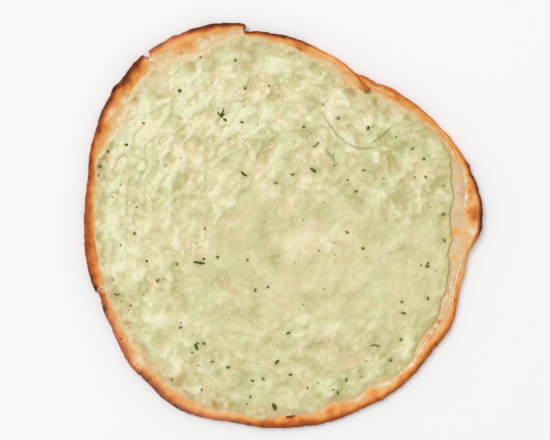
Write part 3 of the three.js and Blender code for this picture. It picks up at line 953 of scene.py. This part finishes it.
# The flour mark above also carries the painted highlights on the rolled wrinkles.
flour_above = bloom(dough_bearing) + TORN_FLOUR * torn + RIDGE_HIGHLIGHT_WHITENESS * ridge_highlights * behind_line
flour_beneath = 0.3 + 0.4 * swells(x, y, 14, 67)
flour = zero_to_one(np.where(seen_from_above, flour_above, flour_beneath))
print("damp: greatest", damp.max().round(2), "and flour: greatest", flour.max().round(2))

# %% The dough becomes a mesh
def close_poles(skin, top, bottom):
    """The points of a closed grid skin with a pole above and one below it, and the faces that join them."""
    rows, slices = skin.shape[:2]
    points = np.vstack([skin.reshape(-1, 3), top, bottom])
    number = np.arange(rows * slices).reshape(rows, slices)
    upper, lower = rows * slices, rows * slices + 1
    faces = [quads_between(closed_round(number)), fan(upper, number[0]), fan(lower, number[-1])[:, ::-1]]
    return points, faces


def with_poles(values):
    """A mark for each point of the grid, with its first row's and last row's mean for the two poles."""
    return np.concatenate([values.ravel(), [values[0].mean(), values[-1].mean()]])


points, faces = close_poles(dough_skin, [0, 0, DOUGH_TOP], [0, 0, 0])
make_piece(
    "baked_dough_round",
    points,
    faces,
    BAKED_DOUGH,
    "baked_dough",
    ["flatbread"],
    toast=with_poles(toast),
    flour=with_poles(flour),
    damp=with_poles(damp),
)
print("dough:", sum(len(group) * (group.shape[1] - 2) for group in faces), "triangles")

# %% [markdown]
# ## Laying on the cheese
# The cheese is a sheet that melted to the shape of the dough. Its top is one height for each place, so a
# plain grid will do: a square grid, pushed out until its border is round, keeps its cells nearly equal,
# where rings would crowd at the middle. The height adds up the dough beneath, the sheet's own thickness,
# its curds and its creases.

# %% How the cheese's edge falls
CLIMB_REACH = 9.0  # how far in from the cheese's edge the dough starts to climb, in mm
# How quickly the sheet reaches its full thickness from its edge, in mm: least on the right, where it steps.
edge_softness = from_list([
    (0, 0.8), (20, 0.9), (40, 2.4), (100, 3.5), (116, 5.5), (145, 5.5), (158, 3.5), (200, 3.5), (210, 4.5),
    (228, 4.5), (240, 3.2), (260, 2.6), (310, 2.0), (340, 0.9),
])


def cheese_edge(bearing):
    """The cheese's own edge, which wanders in and out as it ran, and wanders more where it ends softly."""
    small_wander = 0.6 + 0.09 * edge_softness(bearing)
    wander = 1.3 * unevenness(bearing, 17, 71) + small_wander * unevenness(bearing, 5, 73)
    return cheese_radius(bearing) + cheese_spread(bearing) + wander


def dough_beneath(bearing, inward):
    """The dough's height under the cheese: its climb starts `CLIMB_REACH` in from the cheese's edge."""
    return DOUGH_TOP + round_the_bread(slice_bearing, climb)(bearing) * smooth(1 - inward / CLIMB_REACH)


# %% Creases, heaps and curds
CREASE_WIDTH, CREASE_DEPTH = 0.8, 0.55  # mm
# The few long creases: each is a path of places right of and beyond the bread's middle, in mm.
CREASES = [
    [(24.5, 82.3), (30.4, 73.5), (37.1, 64.5), (43.5, 58.3), (51.1, 54.5), (59.9, 54.0), (68.8, 55.2)],
    [(58.0, 55.0), (68.2, 62.0), (74.0, 67.0), (76.3, 71.0)],
    [(28.3, 55.8), (34.0, 48.0), (39.5, 40.6)],
    [(61.0, 94.0), (64.5, 88.0), (66.0, 82.0)],
]


def stretched(x, y, power=0.35):
    """Places as they were before the dough was stretched: pulling from the middle draws everything out
    along the rim, so a distance from the middle is scaled by its share of the bread's radius to a power."""
    share = (np.hypot(x, y) / crust["edge"].mean()) ** power
    return x * share, y * share


def pulled_long(x, y, turn=np.radians(57), squeeze=0.66, stretch=1.15):
    """Places squeezed along one direction, beyond and to the right, and stretched across it, so that lumps
    laid on them come out long that way."""
    along, across = x * np.cos(turn) + y * np.sin(turn), y * np.cos(turn) - x * np.sin(turn)
    return squeeze * along, stretch * across


# Big lumps and hollows of their own: how far right of and beyond the bread's middle, and the size, in mm,
# then the strength, which is more than 0 for a lump and less than 0 for a hollow.
HEAPS = [
    (-112.5, -31, 5, 0.8), (-100, -34, 4.5, 0.7), (-122, -20, 4, 0.6), (-119, 0, 6, 0.6),
    (-7.5, 113, 5.5, 0.8), (-39, 110, 6, 0.7), (-54.5, 90, 4.5, 0.7), (-10.5, 82, 5.5, 0.7),
    (-72, 84, 5, 0.6), (-5.5, 40, 5, 0.7), (-11, 21, 6, 0.5), (34, 17, 6, 0.4), (48, 52, 5, 0.5),
    (-28.5, -73, 6, 0.5), (-84.5, -66, 5.5, 0.6), (-105.5, 73, 6, 0.5), (34, -112, 6, 0.7),
    (-91.5, 96, 4.5, -0.8), (-110.5, -56, 5.5, -0.7), (-44, 84, 5, -0.6), (-105.5, -26, 3, -0.4),
    (-82.5, 93, 3, -0.5), (-69, 27, 9, 0.25), (-115.5, 43, 4.5, -0.6), (-67, 110, 4, -0.5),
]


def heaps(x, y):
    """The big lumps and hollows together: each is a bell times its strength."""
    return sum(
        strength * bell(np.hypot(x - right, y - beyond), size) for right, beyond, size, strength in HEAPS
    )


def curds(x, y):
    """Big irregular lumps and small round ones, each from 0 in its creases to 1 on top, on ground that is
    first stretched and then pushed about by a swell. The big ones are swells plus the heaps, levelled off
    above and below by an S-shaped step. On the far left, where the baker pulled the dough hardest, they
    give way to long ones."""
    before_x, before_y = stretched(x, y)
    pushed_x = before_x + 2.2 * swells(x, y, 11, 81, 2)
    pushed_y = before_y + 2.2 * swells(x, y, 11, 83, 2)
    pull = smooth(1.5 - np.hypot(x + 52, y - 50) / 55)
    round_lumps = swells(pushed_x, pushed_y, 11, 85, 2, 0.4)
    long_lumps = swells(*pulled_long(pushed_x, pushed_y), 9.5, 87, 2, 0.4)
    large = smooth(0.5 + 0.5 * (round_lumps + pull * (1.25 * long_lumps - round_lumps)) + 0.75 * heaps(x, y))
    return large, pebbles(pushed_x, pushed_y, 7.2, 89)


def liveliness(x, y):
    """How lumpy the cheese is: most on the far side and on the left, a little more at the near edge, and
    least in the middle. A broad swell varies it, and it stays between fixed limits."""
    lively = 0.44 + 0.49 * smooth((y + 25) / 85) + 0.26 * smooth((-y - 55) / 40)
    lively += 0.35 * smooth((-x - 40) / 45) * smooth((y + 95) / 50)
    return np.clip(lively + 0.25 * swells(x, y, 34, 91, 2), 0.35, 1.45)


def crease_lines(x, y):
    """The few long creases: 1 along them and 0 away from them."""
    return zero_to_one(sum(stroke(x, y, path, CREASE_WIDTH) for path in CREASES))


LARGE_CURD, SMALL_CURD = 2.9, 0.9  # mm from the creases to the tops


def cheese_top(x, y):
    """The height of the cheese: dough, thickness that grows from the edge, curds, swells and creases."""
    bearing, radius = polar(x, y)
    inward = cheese_edge(bearing) - radius
    thickness = CHEESE_THICKNESS * (1 - np.exp(-np.maximum(inward, 0) / edge_softness(bearing)))
    large, small = curds(x, y)
    relief = liveliness(x, y) * (LARGE_CURD * (large - 0.45) + SMALL_CURD * (small - 0.5))
    relief += 0.3 * swells(x, y, 32, 93) + 0.3 * swells(x, y, 5.5, 95) + 0.1 * swells(x, y, 2.2, 97, 2)
    relief -= CREASE_DEPTH * crease_lines(x, y)
    return dough_beneath(bearing, inward) + thickness + relief * smooth(inward / 5)


# %% A square grid made round
CELLS = 290


def square_made_round(cells):
    """Points of a square grid moved on to a disc: a point's ring is its distance from the square's middle,
    measured straight to the nearest side, and its bearing is its place along that side."""
    across, up = np.meshgrid(np.linspace(-1, 1, cells + 1), np.linspace(-1, 1, cells + 1), indexing="ij")
    sideways = np.abs(across) > np.abs(up)
    ring = np.where(sideways, across, up)
    safe = np.where(ring == 0, 1, ring)
    quarter = np.pi / 4
    turn = np.where(sideways, quarter * up / safe, 2 * quarter - quarter * across / safe)
    return ring * np.cos(turn), ring * np.sin(turn)


disc_x, disc_y = square_made_round(CELLS)
disc_bearing, disc_radius = polar(disc_x, disc_y)
spread = cheese_edge(disc_bearing)
cheese_x, cheese_y = disc_x * spread, disc_y * spread
cheese_z = cheese_top(cheese_x, cheese_y)
print("cheese top: from", cheese_z.min().round(2), "to", cheese_z.max().round(2), "mm high")

# %% [markdown]
# ### Herbs first, as places
# A scrap of herb stains the cheese round it, so the cheese's marks need to know where the scraps lie. The
# model has a flat lozenge for each scrap. The direction in which its corners spread most is its length.

# %% Where each scrap lies
def scrap_place(name):
    """Middle, length, width and turn (in radians) of a scrap."""
    corners = corners_of(name)[:, :2] - MIDDLE
    middle = corners.mean(axis=0)
    spread_of = np.cov((corners - middle).T)
    long_way = np.linalg.eigh(spread_of)[1][:, 1]
    short_way = np.array([-long_way[1], long_way[0]])
    length, width = np.ptp(corners @ long_way), np.ptp(corners @ short_way)
    return [*middle, length, width, np.arctan2(long_way[1], long_way[0])]


scrap_names = sorted(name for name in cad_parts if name.startswith("herb_leaf"))
scraps = np.array([scrap_place(name) for name in scrap_names])
print(len(scraps), "scraps, the longest", scraps[:, 2].max().round(1), "mm")

# %% The marks on the cheese
# Spots near the crust where the cheese dried: bearing, distance in from the cheese's edge, and size.
DRY_SPOTS = [
    (139.5, 1.5, 2.6), (119.7, 6.4, 3.0), (103.2, 3.0, 3.2), (54.0, 5.5, 2.4), (41.1, 4.9, 2.2),
    (220.1, 5.7, 2.6), (212.1, 5.6, 2.4), (248.9, 1.2, 2.2), (236.0, 5.0, 3.6), (101.0, 6.5, 2.4),
    (62.5, 4.5, 2.6), (160.0, 2.5, 3.0),
]


# How far the dried margin shows, by bearing: least on the left, where the cheese runs right up to the crust.
dryness = from_list([
    (20, 0.1), (40, 0.5), (60, 0.6), (80, 0.7), (96, 0.6), (104, 0.4), (115, 0.7), (128, 0.8), (142, 0.7),
    (151, 0.4), (160, 0.12), (198, 0.16), (206, 0.8), (226, 0.9), (240, 0.5), (255, 0.5), (285, 0.5),
    (300, 0.4), (322, 0.2), (335, 0.1),
])
# How strongly painted shade darkens the cheese's outer few millimetres beside the crust, olive and brown, by
# bearing: most on the near side.
edge_shade_by_bearing = from_list([
    (0, 0.1), (20, 0.4), (60, 0.5), (95, 0.7), (104, 0.4), (112, 0.1), (140, 0.4), (155, 0.5), (165, 0.8),
    (180, 1.1), (197, 1.1), (206, 0.8), (232, 1.0), (242, 1.1), (256, 1.3), (264, 0.8), (295, 0.8),
    (318, 0.7), (345, 0.5),
])


def dry_spots(x, y):
    """Bell-shaped spots near the cheese's edge."""
    total = np.zeros(np.shape(x))
    for bearing, inward, size in DRY_SPOTS:
        radius, turn = cheese_radius(bearing) - inward, np.radians(bearing)
        total += bell(np.hypot(x - radius * np.cos(turn), y - radius * np.sin(turn)), size)
    return total


def stains(x, y):
    """Herb juice round each scrap, fading over the scrap's own length."""
    return zero_to_one(
        sum(bell(np.hypot(x - right, y - beyond), 0.8 * length) for right, beyond, length, _, _ in scraps)
    )


def cheese_marks(x, y):
    """What the finish needs to know at each point of the cheese."""
    bearing, radius = polar(x, y)
    inward = cheese_edge(bearing) - radius
    near_edge = smooth(1 - inward / (2.5 + 1.6 * edge_softness(bearing)))
    stepped = smooth((2 - edge_softness(bearing)) / 1.2)
    large, small = curds(x, y)
    # A painted shadow just inside the edge where the sheet steps down to the dough.
    step_shadow = stepped * bell(inward - 0.6, 0.9)
    patchy = smooth(0.55 + 0.9 * swells(x, y, 7, 101))
    # A painted shade, olive and brown, over the cheese's outer few millimetres beside the crust.
    edge_shade = edge_shade_by_bearing(bearing) * patchy * bell(inward - 3.2, 3.4)
    dry = smooth(1.6 * near_edge - 0.3 + 0.9 * swells(x, y, 7, 99) + 0.5 * swells(x, y, 3, 100, 2))
    paler = 0.16 * smooth((-x - 45) / 45) + 0.1 * smooth((y - 30) / 50) - 0.04 * smooth((x - 55) / 40)
    return {
        # Lumps creamy and creases olive: the curds' colour, with painted light on the tops and painted shade
        # in the creases.
        "curd_and_lump_shading": np.clip(0.75 * large + 0.25 * small + paler, 0, 1.2),
        "lively": liveliness(x, y),
        # Creases, the painted shadow of the stepped edge, and some of the painted shade beside the crust.
        "crease_and_shade": zero_to_one(crease_lines(x, y) + 0.9 * step_shadow + 0.35 * edge_shade),
        "stain": 0.45 * stains(x, y),
        "dry": (1 - 0.8 * stepped) * dryness(bearing) * smooth(3 * near_edge) * dry,
        # Spots that really browned as they dried, plus half of the painted shade beside the crust.
        "browned_and_shaded": zero_to_one(0.75 * dry_spots(x, y) + 0.5 * edge_shade),
    }


# %% The cheese's skirt and underside
def border_of(number):
    """The border of a grid of point numbers, anticlockwise."""
    return np.concatenate([number[:-1, 0], number[-1, :-1], number[:0:-1, -1], number[0, :0:-1]])


number = np.arange((CELLS + 1) ** 2).reshape(CELLS + 1, CELLS + 1)
border = border_of(number)
rim_x, rim_y, rim_z = cheese_x.ravel()[border], cheese_y.ravel()[border], cheese_z.ravel()[border]
rim_radius = np.hypot(rim_x, rim_y)

# Rings from the border round and under: how far out from the border, and how far below it.
RINGS = [(0.25, 0.2), (0.15, 0.6), (-2.5, 1.0), (-10.0, 1.1), (-60.0, 1.1)]
rings = [
    np.column_stack([rim_x * (1 + out / rim_radius), rim_y * (1 + out / rim_radius), rim_z - drop])
    for out, drop in RINGS
]
points = np.vstack([np.column_stack([cheese_x.ravel(), cheese_y.ravel(), cheese_z.ravel()]), *rings])
points = np.vstack([points, [0, 0, DOUGH_TOP - 0.2]])
ring_number = number.size + np.arange(len(RINGS) * len(border)).reshape(len(RINGS), -1)
faces = [
    quads_between(number),
    quads_between(closed_round(np.vstack([border, ring_number]))),
    fan(len(points) - 1, ring_number[-1])[:, ::-1],
]
make_piece(
    "melted_cheese_sheet",
    points,
    faces,
    MELTED_CHEESE,
    "melted_cheese",
    ["cheese_topping"],
    **cheese_marks(points[:, 0], points[:, 1]),
)
print("cheese:", sum(len(group) * (group.shape[1] - 2) for group in faces), "triangles")

# %% [markdown]
# ## Chopping the herbs
# A chopped leaf is a few narrow blades that were cut across: a little folded along the middle vein, ragged
# at the sides, and curled by the heat. One blade is a grid of points as wide as a lens at each place along
# it. A scrap is one to three blades that lie near each other, sunk a little way into the cheese.

# %% One blade, or many at once
LEAF_GRID, CRUMB_GRID = (9, 5), (5, 3)  # how many points along a blade, and how many across
BLADE_THICKNESS, BLADE_LIFT = 0.22, 0.25  # mm; the lift is how far a blade's top stands above the cheese


def blades(x, y, length, width, turn, seed, grid=LEAF_GRID):
    """Points of leaf blades, one blade for each entry of the arrays: a lens shape with ragged sides, folded
    upwards along its middle and curled up at one end, laid on the cheese. Top points come first and then
    the under ones."""
    along = np.linspace(-1, 1, grid[0])[None, :, None]
    across = np.linspace(-1, 1, grid[1])[None, None, :]
    x, y, length, width, turn = (values[:, None, None] for values in (x, y, length, width, turn))
    which = np.arange(len(x))[:, None, None]
    step = np.arange(grid[0])[None, :, None]
    ragged = 1 + 0.5 * (dice(which, step, seed) - 0.5)
    half_width = 0.06 + 0.5 * width * (1 - np.abs(along) ** 2.4) ** 0.8 * ragged
    bend = 0.24 * length * (dice(which, 0 * which, seed + 1) - 0.5) * along**2
    forward, sideways = 0.5 * length * along, half_width * across + bend
    px = x + forward * np.cos(turn) - sideways * np.sin(turn)
    py = y + forward * np.sin(turn) + sideways * np.cos(turn)
    curl = 0.5 * (dice(which, 0 * which, seed + 2) - 0.25) * smooth(along) * np.minimum(length / 4, 1)
    fold = 0.3 * half_width * np.abs(across)
    pz = cheese_top(px, py) + BLADE_LIFT + curl + fold
    top = np.stack([px, py, pz], axis=-1).reshape(len(x), -1, 3)
    under = top - [0, 0, BLADE_THICKNESS]
    return np.concatenate([top, under], axis=1)


def blade_faces(grid):
    """The faces of one blade: its top, its underside turned over, and the wall between their borders."""
    top = np.arange(grid[0] * grid[1]).reshape(grid)
    border = border_of(top)
    wall = quads_between(closed_round(np.vstack([border, border + top.size])))
    return np.vstack([quads_between(top), quads_between(top + top.size)[:, ::-1], wall])


def blade_mesh(points, grid=LEAF_GRID):
    """Points and faces of several blades as one mesh."""
    start = points.shape[1] * np.arange(len(points))[:, None, None]
    return points.reshape(-1, 3), (start + blade_faces(grid)[None]).reshape(-1, 4)


# %% The scraps in the model
# Scraps whose blades are placed one by one. For each blade: how far to the right and how far beyond the
# scrap's middle it lies, its length and its width, in mm, and its turn in degrees.
SPRIGS = {
    1: [(-2.4, 1.1, 5.6, 1.1, -45), (0.0, 3.7, 4.6, 0.9, 73), (0.5, -0.6, 7.6, 1.9, -61)],
    2: [(0.4, 0.0, 8.8, 1.7, -9), (3.7, 2.7, 2.2, 1.6, -30)],
    3: [(0.2, 0.0, 5.2, 1.9, -65), (0.6, 2.2, 3.6, 1.1, 27)],
    4: [(-0.2, 0.1, 5.8, 2.3, -65)],
    5: [(0.7, 1.6, 2.3, 1.5, 60), (0.1, -0.5, 3.0, 1.6, 5)],
    6: [(0.3, 0.1, 5.8, 1.5, -38)],
    7: [(-0.7, 0.2, 5.8, 1.6, -36)],
    8: [(-1.9, 0.6, 4.6, 0.9, 16), (0.9, 0.5, 4.6, 0.9, -19)],
    9: [(-0.8, -0.5, 3.6, 1.2, 17), (1.3, 1.6, 3.4, 1.3, 45)],
    10: [(0.2, 0.5, 4.0, 2.1, 45)],
    11: [(0.1, 0.4, 3.8, 1.4, -12)],
    12: [(-1.2, -0.3, 3.0, 1.2, -38), (0.6, -0.5, 3.0, 1.1, 30)],
    14: [(-2.3, 1.6, 3.6, 2.3, 10), (-3.2, -4.9, 1.9, 1.4, 80)],
    34: [(0.0, 0.3, 2.9, 2.6, 20)],
}
# How much of a scrap's colour is veiled by cheese that ran over it, where that isn't left to chance.
VEILED = dict.fromkeys([1, 2, 3, 4, 6, 7], 0)
VEILED.update({5: 0.15, 8: 0.4, 9: 0.5, 10: 0.05, 11: 0.1, 12: 0.4, 13: 0.35, 15: 0.35, 34: 0.05})


def scrap_blades(number, place, seed):
    """A scrap's blades, as listed above. A scrap that isn't listed is one blade, a little longer and
    narrower than the lozenge that stands for it in the model."""
    x, y, length, width, turn = place
    listed = SPRIGS.get(number, [(0, 0, 1.1 * length, 0.85 * width, np.degrees(turn))])
    right, beyond, lengths, widths, turns = np.array(listed, float).T
    return blades(x + right, y + beyond, lengths, widths, np.radians(turns), seed)


for number, (name, place) in enumerate(zip(scrap_names, scraps), start=1):
    points, faces = blade_mesh(scrap_blades(number, place, 99 + number))
    veil = np.full(len(points), VEILED.get(number, 0.4 * dice(number, 0, 215)))
    scrap = name.replace("leaf", "scrap")
    make_piece(scrap, points, [faces], CHOPPED_HERB, "chopped_herb", [name], buried=veil)
print("the last scrap has", 2 * len(faces), "triangles")

# %% The crumbs
# Chopping also makes crumbs too small to be pieces of their own in the model, so they share one mesh. The
# largest ones are placed one by one: how far right of and beyond the bread's middle, and length, in mm, and
# how far veiled.
LARGE_CRUMBS = [
    (-58, 118, 1.8, 0.4), (-10, 98, 2.0, 0.3), (-98, 72, 2.4, 0.45), (-123, 52, 2.0, 0.1),
    (-18, 71, 1.6, 0.6), (-5, 30, 2.6, 0.5), (-120, 20, 2.0, 0.4), (-103, 13, 1.8, 0.3),
    (28, 85, 2.0, 0.35), (79, 62, 2.0, 0.4), (45, 32, 2.0, 0.3), (92, 34, 1.8, 0.4), (103, 13, 1.6, 0.4),
    (-114, -14, 1.8, 0.1), (-55, -2, 2.4, 0.6), (-84, -38, 1.6, 0.5), (-98, -48, 1.8, 0.3),
    (-107, -56, 2.0, 0.3), (-64, -89, 1.8, 0.2), (-60, -98, 1.8, 0.4), (-78, -108, 2.4, 0.45),
    (-57, -115, 2.6, 0.4), (-23, -120, 2.2, 0.4), (17, -114, 2.2, 0.2), (35, -115, 1.6, 0.3),
    (54, -106, 1.6, 0.3), (58, -95, 1.6, 0.2),
]
SCATTERED_CRUMBS = 100
CRUMB_MARGIN = 4  # mm that the scattered ones keep off the cheese's edge

crumb = np.arange(SCATTERED_CRUMBS)
crumb_bearing = FULL_TURN * dice(crumb, 0 * crumb, 201)
crumb_turn = np.radians(crumb_bearing)
crumb_radius = (cheese_radius(crumb_bearing) - CRUMB_MARGIN) * np.sqrt(dice(crumb, 0 * crumb, 203))
crumb_length = 0.7 + 1.0 * dice(crumb, 0 * crumb, 205) ** 2
crumb_x, crumb_y = crumb_radius * np.cos(crumb_turn), crumb_radius * np.sin(crumb_turn)
crumb_veil = 0.75 * smooth(1.4 * dice(crumb, 0 * crumb, 213))
scattered = np.column_stack([crumb_x, crumb_y, crumb_length, crumb_veil])
crumb_x, crumb_y, crumb_length, crumb_veil = np.vstack([scattered, LARGE_CRUMBS]).T
crumb = np.arange(len(crumb_x))
crumb_width = crumb_length * (0.4 + 0.4 * dice(crumb, 0 * crumb, 207))
crumb_lie = 2 * np.pi * dice(crumb, 0 * crumb, 209)
crumb_blades = blades(crumb_x, crumb_y, crumb_length, crumb_width, crumb_lie, 211, CRUMB_GRID)
points, faces = blade_mesh(crumb_blades, CRUMB_GRID)
buried = np.repeat(crumb_veil, crumb_blades.shape[1])
make_piece("herb_crumbs", points, [faces], CHOPPED_HERB, "chopped_herb", buried=buried)
print(len(crumb), "crumbs of", len(faces) // len(crumb), "faces each")

# %% [markdown]
# ## Table, camera and light
# The bread lies on a plain pale table and is seen from straight above. One broad lamp up on the far left
# gives the soft relief and a faint shadow on the near right. A bright, slightly cool room fills in the rest.

# %% The table
def studio_table():
    """A plain square, 6 m across, a hair below the bread so that the two don't share a plane."""
    half, height = 3.0, -0.1 * MM
    corners = [(-half, -half, height), (half, -half, height), (half, half, height), (-half, half, height)]
    mesh = bpy.data.meshes.new("studio_table")
    mesh.from_pydata(corners, [], [(0, 1, 2, 3)])
    finish = Finish("studio table", Base_Color=paint(247, 247, 247), Roughness=0.9, Specular_IOR_Level=0.1)
    mesh.materials.append(finish.material)
    add_object("studio_table", mesh)


studio_table()

# %% The camera
FRAME_WIDTH = 385.8  # mm of table from the left to the right of the picture
FRAME_MIDDLE = (-5.9, 4.3)
LENS, SENSOR = 90.0, 36.0
OUTLINE_HEIGHT = 5.0  # the height at which the bread is widest

camera = add_object("camera", bpy.data.cameras.new("camera"))
camera.data.lens = LENS
camera.data.sensor_width = SENSOR
camera.location = (
    FRAME_MIDDLE[0] * MM,
    FRAME_MIDDLE[1] * MM,
    (FRAME_WIDTH * LENS / SENSOR + OUTLINE_HEIGHT) * MM,
)
bpy.context.scene.camera = camera
print("the camera is", round(camera.location.z, 3), "m up")

# %% The light
LAMP_DISTANCE, LAMP_SIZE = 5.0, 2.5  # metres
LAMP_BEARING, LAMP_ELEVATION = 138.0, 64.0  # degrees
LAMP_POWER = 105.0  # watts
LAMP_COLOUR = (1.0, 0.985, 0.96)
ROOM_COLOUR = (0.965, 0.985, 1.0, 1.0)
ROOM_STRENGTH = 0.668


def studio_lamp():
    """A square soft box that faces the bread."""
    lamp = add_object("lamp", bpy.data.lights.new("lamp", "AREA"))
    lamp.data.size = LAMP_SIZE
    lamp.data.energy = LAMP_POWER
    lamp.data.color = LAMP_COLOUR
    turn, height = np.radians(LAMP_BEARING), np.radians(LAMP_ELEVATION)
    lamp.location = LAMP_DISTANCE * np.array(
        [np.cos(turn) * np.cos(height), np.sin(turn) * np.cos(height), np.sin(height)]
    )
    lamp.rotation_euler = (-lamp.location).to_track_quat("-Z", "Y").to_euler()


studio_lamp()
room = bpy.data.worlds.new("room")
room.use_nodes = True
background = room.node_tree.nodes["Background"].inputs
background["Color"].default_value = ROOM_COLOUR
background["Strength"].default_value = ROOM_STRENGTH
bpy.context.scene.world = room
bpy.context.scene.view_settings.view_transform = "Standard"
print("one lamp at", LAMP_DISTANCE, "m, and a room of strength", ROOM_STRENGTH)
